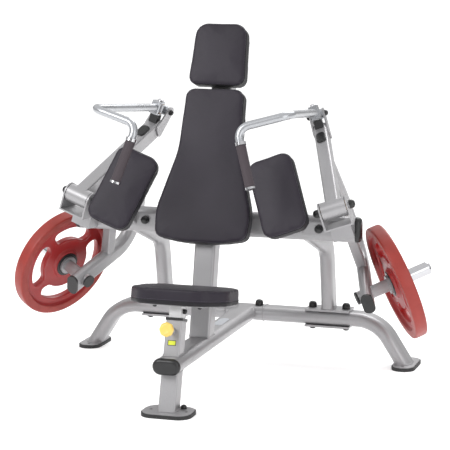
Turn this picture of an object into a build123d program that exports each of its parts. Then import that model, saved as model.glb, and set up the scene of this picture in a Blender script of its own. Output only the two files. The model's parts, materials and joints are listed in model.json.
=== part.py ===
from build123d import *
import os
from math import cos, radians, sin

# Plate-loaded press machine. +X is to the right of someone facing the seat, +Y runs from
# the front foot to the rear feet, +Z is up. The origin is under the front foot's centre.
os.makedirs("parts", exist_ok=True)

# ---------------------------------------------------------------- driving dimensions, mm
WALL = 3.0                      # tube wall
FOOT_RUBBER = 7.0               # rubber under each foot plate
FOOT_PLATE_T = 8.0
FOOT_RIM = 4.0                  # rubber standing round the plate's edge
FRONT_FOOT = (180.0, 130.0, 45.0)      # width, depth, corner radius
REAR_FOOT = (84.0, 190.0, 40.0)
REAR_FOOT_X, REAR_Y = 653.0, 957.0
ANCHOR_R = 6.5
FRONT_ANCHOR_X, REAR_ANCHOR_Y = 66.0, 72.0

OVAL_W, OVAL_H = 100.0, 56.0    # flat-oval tube of the spine and the rear legs
SPINE_Z, SPINE_FRONT_Y = 178.0, -16.0
STUB_HALF = 76.0
LEG_BEND_X, LEG_BEND_R = 540.0, 150.0

POST_LEAN = 16.0                # front post, seat sleeve and seat post lean back
POST_W, POST_D = 64.0, 60.0
SLEEVE_W, SLEEVE_D, SLEEVE_WALL, SLEEVE_TOP = 60.0, 62.0, 4.0, 334.0
BUSH_WALL, BUSH_GAP = 3.0, 0.35
SEAT_POST_WALL, SEAT_POST_FOOT = 3.0, 226.0
PIN_ALONG, PIN_R, PIN_TIP, PIN_LEN, KNOB_R = 296.0, 6.0, 18.0, 84.0, 27.0
HOUSING_R, HOUSING_LEN = 13.0, 52.0
BUSH_LIP = 10.0
SEAT_TRAVEL = 75.0

SEAT_TILT, SEAT_Y, SEAT_Z = 8.0, 170.0, 370.0
SEAT_T, SEAT_PLATE_T, SIDE_BOLT_ALONG = 58.0, 6.0, 369.0

COLUMN_W, COLUMN_D = 80.0, 70.0
COLUMN_PATH = [(0, 373, 178), (0, 444, 516), (0, 679, 1180)]
PAD_LEAN, PAD_T, BOARD_T = 19.5, 62.0, 12.0
BACK_PAD_FOOT = (0, 345, 563)   # bottom edge of its front face
BACK_LEN, HEAD_GAP, HEAD_LEN = 582.0, 16.0, 236.0

BEAM_HALF, BEAM_H, BEAM_D = 544.0, 96.0, 50.0
BEAM_Y, BEAM_Z = 551.0, 604.0
UPRIGHT_X, UPRIGHT_W, UPRIGHT_D = 341.0, 50.0, 90.0
UPRIGHT_BOLT_DX, BOLT_HOLE_R = 68.0, 6.3

ARM_PAD_AT, ARM_PAD_UP = (299.5, 364, 745), (-0.342, 0.38, 0.83)
ARM_PAD_FACE = (-0.068, -0.919, 0.387)
ARM_PAD_W, ARM_PAD_L, ARM_PAD_T, ARM_PAD_R = 172.0, 298.0, 54.0, 40.0
ARM_BOARD_T = 8.0

PIVOT_AT, PIVOT_AXIS = (493.5, 416, 700), (0.932, 0.182, 0.311)
HUB_R, HUB_HALF, AXLE_R, BUSH_R = 35.0, 46.0, 12.5, 17.0
HUB_FLANGE, RUN_GAP = 1.6, 0.05
BRACKET_T, BRACKET_IN = 6.0, 48.5
LEVER_ANGLE, LEVER_LEN, LEVER_W, LEVER_D = 28.8, 502.0, 50.0, 70.0
REAR_TUBE = [(285, 157), (474, -80), (470, -262), (130, -392)]   # back, up from the hub
REAR_TUBE_R = [260.0, 115.0]
REAR_TUBE_W, REAR_TUBE_D = 44.0, 80.0
STRUT = [(200, 112), (340, -309)]
STRUT_W, STRUT_D = 38.0, 46.0
STOP_ALONG, STOP_GAP, STOP_RUBBER = 224.0, 0.4, 20.0
STOP_CLEAR = 10.0               # swing barrel to drop stop, past the fork's lower ear
STOP_FORWARD = 12.0             # drop stop's middle in front of the lever's end

HORN_AT, HORN_DIR = (650, 660, 385), (0.826, 0.424, 0.371)       # centre of the plate's face
HORN_R, SLEEVE_R, FLANGE_R, FLANGE_T = 24.0, 24.9, 36.0, 8.0
HORN_IN, HORN_OUT = -132.0, 166.0
PLATE_R, PLATE_BORE, PLATE_RIM_T, PLATE_WEB_T = 225.0, 25.4, 50.0, 22.0
RIM_IN, HUB_OUT, SLOT_IN, SLOT_OUT = 192.0, 55.0, 108.0, 160.0
SLOT_HALF_ANGLE = 27.0
PLATE_GAP = 0.4                 # between the horn's flange and the plate
CLIP_WIRE, CLIP_R = 3.0, 28.6

CLEVIS_PIN = (466, 303)         # back and up from the hub
SWING_AT, SWING_TILT = (417, 318), 6.9
CHEEK_T, CROSS_HALF = 6.0, 24.2
BARREL_R, BARREL_H = 19.0, 36.0
HANDLE_R, HANDLE_WALL = 15.0, 2.5
HANDLE_CORNER, HANDLE_BEND_R = (372, 250, 1056), 42.0
GRIP_LEAD = 48.0                # straight tube between the last bend and the grip
GRIP_FROM, GRIP_TO, GRIP_R = (203, 199, 962), (253, 158, 805), 18.5

nodes = {}


# ---------------------------------------------------------------- shared shapes
def oval(width, height, inset=0.0):
    """A flat-oval outline, long side along x."""
    return SlotOverall(width - 2 * inset, height - 2 * inset)


def boxed(width, height, inset=0.0, corner=7.0):
    """A rounded box-tube outline."""
    return RectangleRounded(width - 2 * inset, height - 2 * inset, max(corner - inset, 1.0))


def run_along(path, outline, x_dir, wall):
    """A tube along a path: returns the hollow tube and its filled outside."""
    start = Plane(origin=path @ 0, x_dir=x_dir, z_dir=path % 0)
    outside = sweep(start * outline(0.0), path=path)
    inside = sweep(start * outline(wall), path=path)
    return outside - inside, outside


def rod(start, end, radius):
    """A round bar from one point to another."""
    a, b = Vector(*start), Vector(*end)
    plane = Plane(origin=a, z_dir=(b - a).normalized())
    return plane * Cylinder(radius, (b - a).length, align=(Align.CENTER, Align.CENTER, Align.MIN))


def dome(radius, height):
    """A domed bolt cap standing on z = 0."""
    crown = min(radius, height) * 0.8
    cap = Cylinder(radius, height, align=(Align.CENTER, Align.CENTER, Align.MIN))
    return fillet(cap.edges().group_by(Axis.Z)[-1], crown)


def slab(size, centre):
    return Pos(*centre) * Box(*size)


def mirrored(shape):
    return mirror(shape, about=Plane.YZ)


def both_sides(name, shape):
    """Writes a piece of the +X side and its mirror image as two nodes."""
    nodes["right_" + name] = shape
    nodes["left_" + name] = mirrored(shape)


def group(shapes):
    """Separate solids kept in one node."""
    return Compound(children=[s for shape in shapes for s in shape.solids()])


# ---------------------------------------------------------------- feet and lower frame
def foot(size, centre, holes):
    width, depth, corner = size
    at = Pos(centre[0], centre[1], 0)
    rim = RectangleRounded(width + 2 * FOOT_RIM, depth + 2 * FOOT_RIM, corner + FOOT_RIM)
    face = RectangleRounded(width, depth, corner)
    shoe = extrude(rim, FOOT_RUBBER + 6) - Pos(0, 0, FOOT_RUBBER) * extrude(face, 20)
    plate = Pos(0, 0, FOOT_RUBBER) * extrude(face, FOOT_PLATE_T)
    for x, y in holes:
        hole = Pos(x, y, 0) * Cylinder(ANCHOR_R, 100)
        shoe, plate = shoe - hole, plate - hole
    return at * plate, at * shoe


FOOT_TOP = FOOT_RUBBER + FOOT_PLATE_T
front_plate, front_shoe = foot(
    FRONT_FOOT, (0, 0), [(-FRONT_ANCHOR_X, 0), (FRONT_ANCHOR_X, 0)])
rear_plate, rear_shoe = foot(
    REAR_FOOT, (REAR_FOOT_X, REAR_Y), [(0, -REAR_ANCHOR_Y), (0, REAR_ANCHOR_Y)])
nodes["foot_plates"] = group([front_plate, rear_plate, mirrored(rear_plate)])
nodes["foot_shoes"] = group([front_shoe, rear_shoe, mirrored(rear_shoe)])

stub, stub_solid = run_along(
    Line((-STUB_HALF, REAR_Y, SPINE_Z), (STUB_HALF, REAR_Y, SPINE_Z)),
    lambda inset: Rot(0, 0, 90) * oval(OVAL_W, OVAL_H, inset), (0, 0, 1), WALL)
spine_line = Line((0, SPINE_FRONT_Y, SPINE_Z), (0, REAR_Y, SPINE_Z))
spine, spine_solid = run_along(
    spine_line, lambda inset: oval(OVAL_W, OVAL_H, inset), (1, 0, 0), WALL)
nodes["spine_tube"] = spine - stub_solid
nodes["rear_stub"] = stub

leg_path = FilletPolyline(
    (STUB_HALF + 0.0, REAR_Y, SPINE_Z), (LEG_BEND_X, REAR_Y, SPINE_Z),
    (REAR_FOOT_X + 4, REAR_Y, -5), radius=LEG_BEND_R)
leg, leg_solid = run_along(
    leg_path, lambda inset: oval(OVAL_W, OVAL_H, inset), (0, 1, 0), WALL)
above_foot = slab((2000, 2000, 400), (0, 900, FOOT_TOP + 200))

# ---------------------------------------------------------------- front post and sleeve
post_axis = Vector(0, sin(radians(POST_LEAN)), cos(radians(POST_LEAN)))
post_out = Vector(0, -cos(radians(POST_LEAN)), sin(radians(POST_LEAN)))


def along_post(outline, start, end):
    """Extrudes an outline up the leaning post between two distances from the floor."""
    plane = Plane(origin=post_axis * start, x_dir=(1, 0, 0), z_dir=post_axis)
    return extrude(plane * outline, end - start)


post = along_post(boxed(POST_W, POST_D), -30, 190) - along_post(
    boxed(POST_W, POST_D, WALL), -31, 191)
nodes["front_post"] = (post & slab((300, 600, SPINE_Z - FOOT_TOP),
                                   (0, 0, (SPINE_Z + FOOT_TOP) / 2))) - spine_solid

sleeve_bore = boxed(SLEEVE_W, SLEEVE_D, SLEEVE_WALL)
pin_plane = Plane(origin=post_axis * PIN_ALONG, x_dir=(1, 0, 0), z_dir=post_out)
housing_from = SLEEVE_D / 2 - SLEEVE_WALL / 2
pin_hole = pin_plane * Cylinder(
    PIN_R + 0.5, 120, align=(Align.CENTER, Align.CENTER, Align.MIN))
housing = pin_plane * Pos(0, 0, housing_from) * Cylinder(
    HOUSING_R, HOUSING_LEN + SLEEVE_WALL / 2, align=(Align.CENTER, Align.CENTER, Align.MIN))
sleeve = along_post(boxed(SLEEVE_W, SLEEVE_D), 180, SLEEVE_TOP)
sleeve = (sleeve + housing) - along_post(sleeve_bore, 170, SLEEVE_TOP + 5) - pin_hole
nodes["seat_sleeve"] = (sleeve & slab((300, 600, 300), (0, 0, SPINE_Z + 150))) - spine_solid

liner_in = boxed(SLEEVE_W, SLEEVE_D, SLEEVE_WALL + BUSH_WALL)
bushing = along_post(sleeve_bore, 250, SLEEVE_TOP)
bushing = bushing + along_post(boxed(SLEEVE_W + 5, SLEEVE_D + 5), SLEEVE_TOP, SLEEVE_TOP + BUSH_LIP)
nodes["sleeve_bushing"] = bushing - along_post(liner_in, 240, SLEEVE_TOP + 20) - pin_hole

# ---------------------------------------------------------------- seat on its post
seat_plane = Plane(origin=(0, SEAT_Y, SEAT_Z), x_dir=(1, 0, 0),
                   z_dir=(0, sin(radians(SEAT_TILT)), cos(radians(SEAT_TILT))))
post_inset = SLEEVE_WALL + BUSH_WALL + BUSH_GAP
seat_post = along_post(boxed(SLEEVE_W, SLEEVE_D, post_inset), SEAT_POST_FOOT, 440)
seat_post = seat_post - along_post(
    boxed(SLEEVE_W, SLEEVE_D, post_inset + SEAT_POST_WALL), SEAT_POST_FOOT - 5, 450)
under_plate = seat_plane * slab((500, 500, 400), (0, 0, -SEAT_PLATE_T - 200))
travel_slot = pin_plane * slab(
    (2 * PIN_R + 1, SEAT_TRAVEL + 2 * PIN_R + 1, 40), (0, -SEAT_TRAVEL / 2, 35))
nodes["seat_post"] = (seat_post & under_plate) - travel_slot

seat_plate = seat_plane * extrude(RectangleRounded(210, 180, 15), -SEAT_PLATE_T)
seat_bolts = [seat_plane * Pos(x, y, -SEAT_PLATE_T) * Rot(180, 0, 0) * dome(8, 8)
              for x in (-85, 85) for y in (-70, 70)]
nodes["seat_plate"] = seat_plate
side_bolt_at = post_axis * SIDE_BOLT_ALONG
side_bolt = Pos(SLEEVE_W / 2 - post_inset, side_bolt_at.Y, side_bolt_at.Z)
seat_bolts.append(side_bolt * Rot(0, 90, 0) * dome(9, 14))
nodes["seat_bolts"] = group(seat_bolts)


pin = pin_plane * Pos(0, 0, PIN_TIP) * Cylinder(
    PIN_R, PIN_LEN, align=(Align.CENTER, Align.CENTER, Align.MIN))
knob_from = housing_from + SLEEVE_WALL / 2 + HOUSING_LEN + 4
knob = Cylinder(KNOB_R, 24, align=(Align.CENTER, Align.CENTER, Align.MIN))
knob = fillet(knob.edges(), 9)
knob = knob + Pos(0, 0, -3) * Cylinder(10, 6, align=(Align.CENTER, Align.CENTER, Align.MIN))
knob = pin_plane * Pos(0, 0, knob_from) * knob
nodes["pull_pin"] = pin
nodes["pin_knob"] = knob - pin

# ---------------------------------------------------------------- column, beam, uprights
beam_line = Line((-BEAM_HALF, BEAM_Y, BEAM_Z), (BEAM_HALF, BEAM_Y, BEAM_Z))
beam, beam_solid = run_along(
    beam_line, lambda inset: oval(BEAM_H, BEAM_D, inset), (0, 0, 1), WALL)
nodes["cross_beam"] = beam
beam_cap = extrude(Plane(origin=(BEAM_HALF, BEAM_Y, BEAM_Z), x_dir=(0, 0, 1), z_dir=(1, 0, 0))
                   * oval(BEAM_H, BEAM_D), 22)
beam_cap = fillet(beam_cap.edges().group_by(Axis.X)[-1], 17)

column_path = FilletPolyline(*COLUMN_PATH, radius=300)
column, column_solid = run_along(
    column_path, lambda inset: boxed(COLUMN_W, COLUMN_D, inset, 10), (1, 0, 0), WALL)
saddle = slab((90, 40, 80), (0, BEAM_Y - BEAM_D / 2 - 2, BEAM_Z)) - column_solid
nodes["column"] = (column + saddle) - spine_solid - beam_solid
above_spine = slab((300, 1500, 1300), (0, 500, SPINE_Z + 650))
nodes["column"] = nodes["column"] & above_spine

base_top = SPINE_Z + OVAL_H / 2 + 8
upright_path = FilletPolyline(
    (UPRIGHT_X, 952, base_top), (UPRIGHT_X, 903, 481), (UPRIGHT_X, 556, 608), radius=120)
upright, _ = run_along(
    upright_path, lambda inset: oval(UPRIGHT_D, UPRIGHT_W, inset), (0, 1, 0.184), WALL)
upright = upright & slab((200, 1500, 900), (UPRIGHT_X, 600, base_top + 450))
base_plate = slab((180, 92, 8), (UPRIGHT_X, REAR_Y, base_top - 4))
under_leg = SPINE_Z - OVAL_H / 2
bolt_xs = (UPRIGHT_X - UPRIGHT_BOLT_DX, UPRIGHT_X + UPRIGHT_BOLT_DX)
leg_bolts = [Pos(x, REAR_Y, (base_top + under_leg - 8) / 2)
             * Cylinder(6, base_top - under_leg + 8) for x in bolt_xs]
bolt_holes = [Pos(x, REAR_Y, base_top - 60) * Cylinder(BOLT_HOLE_R, 300) for x in bolt_xs]
both_sides("upright", (upright - beam_solid) + ((base_plate - leg_solid) - bolt_holes))
both_sides("leg", (leg & above_foot) - bolt_holes)

clamp = slab((180, 92, 8), (UPRIGHT_X, REAR_Y, under_leg - 4)) - bolt_holes
nodes["clamp_plates"] = group([clamp, mirrored(clamp)])

# ---------------------------------------------------------------- pads and their boards
lean = radians(PAD_LEAN)
back_plane = Plane(origin=BACK_PAD_FOOT, x_dir=(1, 0, 0), z_dir=(0, -cos(lean), sin(lean)))
back_half = [(70, 0), (178, 18), (184, 120), (121, 345), (112, BACK_LEN)]
back_radii = [400, 34, 200, 300, 34]
seat_half = [(118, -150), (186, -62), (186, 88), (138, 146)]
seat_radii = [80, 80, 70, 44]


def mirrored_outline(half, radii):
    """A closed outline, the same on both sides of x = 0, with its corners rounded."""
    face = make_face(Polyline(*half, *[(-x, y) for x, y in reversed(half)], close=True))
    for (x, y), radius in zip(half, radii):
        corners = face.vertices().filter_by(
            lambda v: abs(abs(v.X) - x) < 0.01 and abs(v.Y - y) < 0.01)
        face = fillet(corners, radius)
    return face


nodes["seat_pad"] = seat_plane * extrude(mirrored_outline(seat_half, seat_radii), SEAT_T)
nodes["back_pad"] = back_plane * extrude(mirrored_outline(back_half, back_radii), -PAD_T)
head_half = [(110, 0), (98, HEAD_LEN)]
head_plane = back_plane * Pos(0, BACK_LEN + HEAD_GAP, 0)
nodes["head_pad"] = head_plane * extrude(mirrored_outline(head_half, [32, 48]), -PAD_T)
back_board = back_plane * slab((180, 500, BOARD_T), (0, 300, -PAD_T - BOARD_T / 2))
head_board = back_plane * slab(
    (120, 190, BOARD_T), (0, BACK_LEN + HEAD_GAP + 110, -PAD_T - BOARD_T / 2))
nodes["pad_boards"] = group([back_board - column_solid, head_board - column_solid])

arm_up, arm_face = Vector(*ARM_PAD_UP).normalized(), Vector(*ARM_PAD_FACE).normalized()
arm_plane = Plane(origin=ARM_PAD_AT, x_dir=arm_up.cross(arm_face), z_dir=arm_face)
arm_pad = arm_plane * Pos(0, 0, -ARM_PAD_T / 2) * extrude(
    RectangleRounded(ARM_PAD_W, ARM_PAD_L, ARM_PAD_R), ARM_PAD_T)
both_sides("arm_pad", arm_pad)
board_back = -ARM_PAD_T / 2 - ARM_BOARD_T
arm_board = arm_plane * slab((110, 220, ARM_BOARD_T), (0, 0, board_back + ARM_BOARD_T / 2))
arm_from = arm_plane.from_local_coords(Vector(6, -62, board_back + 3))
arm_to = Vector(arm_from.X, BEAM_Y - 10, BEAM_Z)
arm_axis = (arm_to - arm_from).normalized()
arm_bar = extrude(
    Plane(origin=arm_from, x_dir=(1, 0, 0), z_dir=arm_axis) * RectangleRounded(40, 44, 6),
    (arm_to - arm_from).length)
arm_front = arm_plane * slab((600, 600, 300), (0, 0, board_back + 150))
arm_bracket = ((arm_bar - beam_solid) - arm_front) + arm_board
nodes["arm_pad_brackets"] = group([arm_bracket, mirrored(arm_bracket)])

# ---------------------------------------------------------------- lever, in its hub's frame
axis_out = Vector(*PIVOT_AXIS).normalized()
axis_back = Vector(0, 0, 1).cross(axis_out).normalized()
hub_plane = Plane(origin=PIVOT_AT, x_dir=axis_out, z_dir=axis_out.cross(axis_back))
SIDE = Plane(origin=(0, 0, 0), x_dir=(0, 1, 0), z_dir=(1, 0, 0))


def across(radius, half, at=(0, 0)):
    """A round bar along the hub's axis."""
    return Pos(0, *at) * Rot(0, 90, 0) * Cylinder(radius, 2 * half)


def side_plate(outline, start, end):
    """Extrudes an outline of the back-up plane between two stations on the hub's axis."""
    return Pos(start, 0, 0) * extrude(SIDE * outline, end - start)


angle = radians(LEVER_ANGLE)
lever_dir = Vector(0, cos(angle), sin(angle))
lever_up = Vector(0, -sin(angle), cos(angle))
lever_plane = Plane(origin=(0, 0, 0), x_dir=(1, 0, 0), z_dir=lever_dir)


def on_lever(distance, offset):
    """A point of the back-up plane from its distance along the lever and offset above it."""
    point = lever_dir * distance + lever_up * offset
    return point.Y, point.Z


tube = extrude(lever_plane * boxed(LEVER_W, LEVER_D), LEVER_LEN)
tube_bore = extrude(lever_plane * boxed(LEVER_W, LEVER_D, WALL), LEVER_LEN - 6)
hub_solid = across(HUB_R, HUB_HALF)
hub = hub_solid - across(BUSH_R, 60)
lever_arm = hub + ((tube - tube_bore) - hub_solid)

pin_at = Pos(*CLEVIS_PIN)
cheek_outline = make_hull(
    (pin_at * Circle(22)).edges()
    + (Pos(*on_lever(474, 16)) * Circle(12)).edges()
    + (Pos(*on_lever(482, -18)) * Circle(12)).edges())
cheek = side_plate(cheek_outline, LEVER_W / 2, LEVER_W / 2 + CHEEK_T)
cheeks = cheek + mirror(cheek, about=Plane.YZ)
clevis = cheeks + across(10, LEVER_W / 2 + CHEEK_T, CLEVIS_PIN)
rear_path = FilletPolyline(*[(0, y, z) for y, z in REAR_TUBE], radius=REAR_TUBE_R)
rear_tube, rear_solid = run_along(
    rear_path, lambda inset: oval(REAR_TUBE_D, REAR_TUBE_W, inset),
    Vector(1, 0, 0).cross(rear_path % 0), WALL)

horn_dir = hub_plane.to_local_coords(Vector(*PIVOT_AT) + Vector(*HORN_DIR)).normalized()
horn_at = hub_plane.to_local_coords(Vector(*HORN_AT))
horn_plane = Plane(origin=horn_at, z_dir=horn_dir)


def on_horn(radius, start, end):
    """A disc or bar on the horn between two stations measured outward from the plate."""
    return horn_plane * Pos(0, 0, start) * Cylinder(
        radius, end - start, align=(Align.CENTER, Align.CENTER, Align.MIN))


horn = on_horn(HORN_R, HORN_IN, -PLATE_GAP - FLANGE_T) + on_horn(
    FLANGE_R, -PLATE_GAP - FLANGE_T, -PLATE_GAP)
sleeve_bar = Cylinder(SLEEVE_R, HORN_OUT + PLATE_GAP,
                      align=(Align.CENTER, Align.CENTER, Align.MIN))
sleeve_bar = fillet(sleeve_bar.edges().group_by(Axis.Z)[-1], 12)
horn_sleeve = horn_plane * Pos(0, 0, -PLATE_GAP) * sleeve_bar
strut_from, strut_to = [Vector(0, *point) for point in STRUT]
strut_plane = Plane(origin=strut_from, x_dir=(1, 0, 0), z_dir=(strut_to - strut_from).normalized())
strut_len = (strut_to - strut_from).length
strut = extrude(strut_plane * boxed(STRUT_W, STRUT_D), strut_len)
strut = strut - extrude(strut_plane * boxed(STRUT_W, STRUT_D, WALL), strut_len)

horn_bar = on_horn(HORN_R, HORN_IN, 0)
rear_end = Plane(origin=rear_path @ 1, x_dir=Vector(1, 0, 0).cross(rear_path % 1),
                 z_dir=rear_path % 1)
rear_cap = extrude(rear_end * oval(REAR_TUBE_D + 2, REAR_TUBE_W + 2), 9)
horn_cap = on_horn(HORN_R + 1, HORN_IN - 7, HORN_IN)
plug_y, plug_z = on_lever(410, LEVER_D / 2)
plug_plane = Plane(origin=(0, plug_y, plug_z), x_dir=(1, 0, 0), z_dir=lever_up)
plug = extrude(RectangleRounded(38, 62, 17), 6)
plug = plug_plane * fillet(plug.edges().group_by(Axis.Z)[-1], 4)
stop_y, stop_z = on_lever(LEVER_LEN, LEVER_D / 2)
stop_top = SWING_AT[1] - BARREL_H / 2 - STOP_CLEAR
drop_stop = slab((34, 30, 46), (0, stop_y - STOP_FORWARD, stop_top - 23))
drop_stop = drop_stop - tube
pin_heads = [Pos(side * (LEVER_W / 2 + CHEEK_T), *CLEVIS_PIN)
             * Rot(0, side * 90, 0) * dome(11, 12) for side in (-1, 1)]
bushings = []
for side in (-1, 1):
    length, flange = 22.0, HUB_FLANGE
    liner = Pos(side * (HUB_HALF - length / 2), 0, 0) * Rot(0, 90, 0) * Cylinder(BUSH_R, length)
    collar = Pos(side * (HUB_HALF + flange / 2), 0, 0) * Rot(0, 90, 0) * Cylinder(24, flange)
    bushings.append((liner + collar) - across(AXLE_R + RUN_GAP, 90))

lever_pieces = {
    "lever_arm": lever_arm,
    "lever_clevis": clevis,
    "lever_strut": (strut - tube) - rear_solid,
    "rear_tube": (rear_tube - tube) - horn_bar,
    "load_horn": horn,
    "horn_sleeve": horn_sleeve,
    "lever_caps": group([rear_cap, horn_cap - rear_solid, plug, drop_stop, *pin_heads]),
    "hub_bushings": group(bushings),
}
for name, shape in lever_pieces.items():
    both_sides(name, hub_plane * shape)

# ---------------------------------------------------------------- rest stop behind the beam
strut_down = (strut_to - strut_from).normalized()
strut_front = Vector(1, 0, 0).cross(strut_down)
if strut_front.Y > 0:
    strut_front = -strut_front
stop_touch = strut_from + strut_down * STOP_ALONG + strut_front * (STRUT_D / 2 + STOP_GAP)
puck_end = stop_touch + strut_front * STOP_RUBBER
stop_puck = rod(stop_touch, puck_end, 19)
stop_stem = rod(puck_end, puck_end + strut_front * 90, 10)
rest_stop = [hub_plane * stop_puck, (hub_plane * stop_stem) - beam_solid]
nodes["rest_stops"] = group([*rest_stop, *[mirrored(s) for s in rest_stop]])

# ---------------------------------------------------------------- pivot bracket and axle
wall_outline = make_hull(
    Circle(36).edges() + (Pos(16, -46) * Rectangle(104, 34)).edges())
bracket_out = BRACKET_IN + BRACKET_T
side_wall = side_plate(wall_outline, BRACKET_IN, bracket_out)
floor_plate = slab((2 * bracket_out, 150, BRACKET_T), (0, 39, -66))
riser = slab((78, 76, 56), (-4, 84, -97))
bracket = (side_wall + mirror(side_wall, about=Plane.YZ) + floor_plate + riser)
bracket = bracket - across(AXLE_R, 90)
both_sides("pivot_bracket", (hub_plane * bracket) - beam_solid - beam_cap)
axle = hub_plane * across(AXLE_R, bracket_out + 3)
axle_caps = [hub_plane * Pos(side * (bracket_out + 3), 0, 0) * Rot(0, side * 90, 0) * dome(16, 22)
             for side in (-1, 1)]

# ---------------------------------------------------------------- handle on its two pivots
swing_tilt = radians(SWING_TILT)
swing_plane = Plane(origin=(0, *SWING_AT), x_dir=(1, 0, 0),
                    z_dir=(0, sin(swing_tilt), cos(swing_tilt)))
barrel = swing_plane * Cylinder(BARREL_R, BARREL_H)
web = side_plate(make_hull((pin_at * Circle(14)).edges()
                           + (Pos(*SWING_AT) * Circle(12)).edges()), -10, 10)
cross = across(20, CROSS_HALF, CLEVIS_PIN) + web + barrel
cross = cross - across(10 + RUN_GAP, 60, CLEVIS_PIN) - swing_plane * Cylinder(8 + RUN_GAP, 90)
both_sides("cross_block", hub_plane * cross)

fork_z = BARREL_H / 2 + 2
ear = Cylinder(BARREL_R, 6, align=(Align.CENTER, Align.CENTER, Align.MIN))
ear = ear + slab((2 * BARREL_R, 26, 6), (0, -13, 3))
fork = Pos(0, 0, fork_z) * ear + Pos(0, 0, -fork_z - 6) * ear
fork = fork + slab((2 * BARREL_R - 4, 12, 2 * fork_z + 12), (0, -29, 0))
fork = fork - Cylinder(8, 120)
fork_world = hub_plane * (swing_plane * fork)
tube_start = hub_plane.from_local_coords(swing_plane.from_local_coords(Vector(0, -30, 0)))
grip_dir = (Vector(*GRIP_TO) - Vector(*GRIP_FROM)).normalized()
last_bend = Vector(*GRIP_FROM) - grip_dir * GRIP_LEAD
handle_path = FilletPolyline(
    tube_start, HANDLE_CORNER, last_bend, GRIP_TO, radius=HANDLE_BEND_R)
handle, _ = run_along(handle_path, lambda inset: Circle(HANDLE_R - inset), None, HANDLE_WALL)
both_sides("handle_tube", fork_world + handle)
swing_pin = Cylinder(8, 2 * fork_z + 12) + Pos(0, 0, fork_z + 6) * dome(12, 9)
end_cap = rod(Vector(*GRIP_TO), Vector(*GRIP_TO) + grip_dir * 8, 20)
collar_top = Vector(*GRIP_FROM) + grip_dir * 4
collar = rod(collar_top, collar_top + grip_dir * 12, 20) - rod(
    collar_top - grip_dir * 5, collar_top + grip_dir * 20, HANDLE_R)
both_sides("handle_trim", group([hub_plane * (swing_plane * swing_pin), collar, end_cap]))
grip = rod(collar_top + grip_dir * 12, GRIP_TO, GRIP_R) - rod(
    collar_top, Vector(*GRIP_TO) + grip_dir * 5, HANDLE_R)
both_sides("handle_grip", grip)

# ---------------------------------------------------------------- weight plate and clip
mid = PLATE_RIM_T / 2
half_web = PLATE_WEB_T / 2
profile = Polyline(
    (PLATE_BORE, 2), (HUB_OUT, 2), (HUB_OUT + 6, mid - half_web), (RIM_IN - 8, mid - half_web),
    (RIM_IN, 0), (PLATE_R - 6, 0), (PLATE_R, 6), (PLATE_R, PLATE_RIM_T - 6),
    (PLATE_R - 6, PLATE_RIM_T), (RIM_IN, PLATE_RIM_T), (RIM_IN - 8, mid + half_web),
    (HUB_OUT + 6, mid + half_web), (HUB_OUT, PLATE_RIM_T - 2), (PLATE_BORE, PLATE_RIM_T - 2),
    close=True)
disc = revolve(make_face(Plane.XZ * profile), Axis.Z)
for quarter in range(4):
    arc = radians(SLOT_HALF_ANGLE)
    middle = radians(90 * quarter)
    ends = [Pos((SLOT_IN + SLOT_OUT) / 2 * cos(middle + s * arc),
                (SLOT_IN + SLOT_OUT) / 2 * sin(middle + s * arc)) * Circle((SLOT_OUT - SLOT_IN) / 2)
            for s in (-1, 1)]
    sector = Polyline((0, 0), *[(400 * cos(middle + s * arc), 400 * sin(middle + s * arc))
                                for s in (-1, 0, 1)], close=True)
    ring = Circle(SLOT_OUT) - Circle(SLOT_IN)
    slot = (ring & make_face(sector)) + ends[0] + ends[1]
    disc = disc - Pos(0, 0, -5) * extrude(slot, PLATE_RIM_T + 10)
both_sides("weight_plate", hub_plane * (horn_plane * disc))

clip_z = PLATE_RIM_T + PLATE_GAP + CLIP_WIRE
coils = [Pos(0, 0, clip_z + turn * 1.5 * CLIP_WIRE) * Torus(CLIP_R, CLIP_WIRE) for turn in (0, 1)]
tails = []
for side in (-1, 1):
    foot_at = (side * 10, -CLIP_R + 2, clip_z + 0.75 * CLIP_WIRE)
    tails.append(rod(foot_at, (side * 34, -CLIP_R - 52, foot_at[2] + 6), CLIP_WIRE))
clip = coils[0] + coils[1] + tails[0] + tails[1]
both_sides("spring_clip", hub_plane * (horn_plane * clip))

# ---------------------------------------------------------------- bolts, caps, end caps
caps = []
top_face, low_face = base_top, under_leg - 8
for x in bolt_xs:
    for side in (-1, 1):
        caps.append(Pos(side * x, REAR_Y, top_face) * dome(16, 24))
        caps.append(Pos(side * x, REAR_Y, low_face) * Rot(180, 0, 0) * dome(14, 16))
for x in (-52, 52):
    caps.append(Pos(x, REAR_Y, SPINE_Z + OVAL_H / 2) * dome(16, 24))
for x in bolt_xs:
    for side in (-1, 1):
        caps.append(Pos(side * x, BEAM_Y - BEAM_D / 2, BEAM_Z) * Rot(90, 0, 0) * dome(16, 20))
foot_cap = Pos(44, 40, FOOT_TOP) * dome(11, 14)
nodes["frame_bolts"] = group([axle, mirrored(axle), *leg_bolts, *[mirrored(b) for b in leg_bolts]])
nodes["bolt_caps"] = group([*caps, foot_cap, *axle_caps, *[mirrored(c) for c in axle_caps]])

spine_cap = extrude(Plane(origin=(0, SPINE_FRONT_Y, SPINE_Z), x_dir=(1, 0, 0), z_dir=(0, -1, 0))
                    * oval(OVAL_W + 4, OVAL_H + 4), 18)
spine_cap = fillet(spine_cap.edges().group_by(Axis.Y)[0], 14)
column_end = Plane(origin=column_path @ 1, x_dir=(1, 0, 0), z_dir=column_path % 1)
column_cap = extrude(column_end * boxed(COLUMN_W + 2, COLUMN_D + 2, 0, 11), 7) - head_board
nodes["tube_end_caps"] = group([spine_cap, column_cap, beam_cap, mirrored(beam_cap)])

# ---------------------------------------------------------------- files
for name, shape in nodes.items():
    export_step(shape, f"parts/{name}.step")
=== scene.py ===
import json
from math import cos, pi, radians, sin, sqrt

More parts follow.
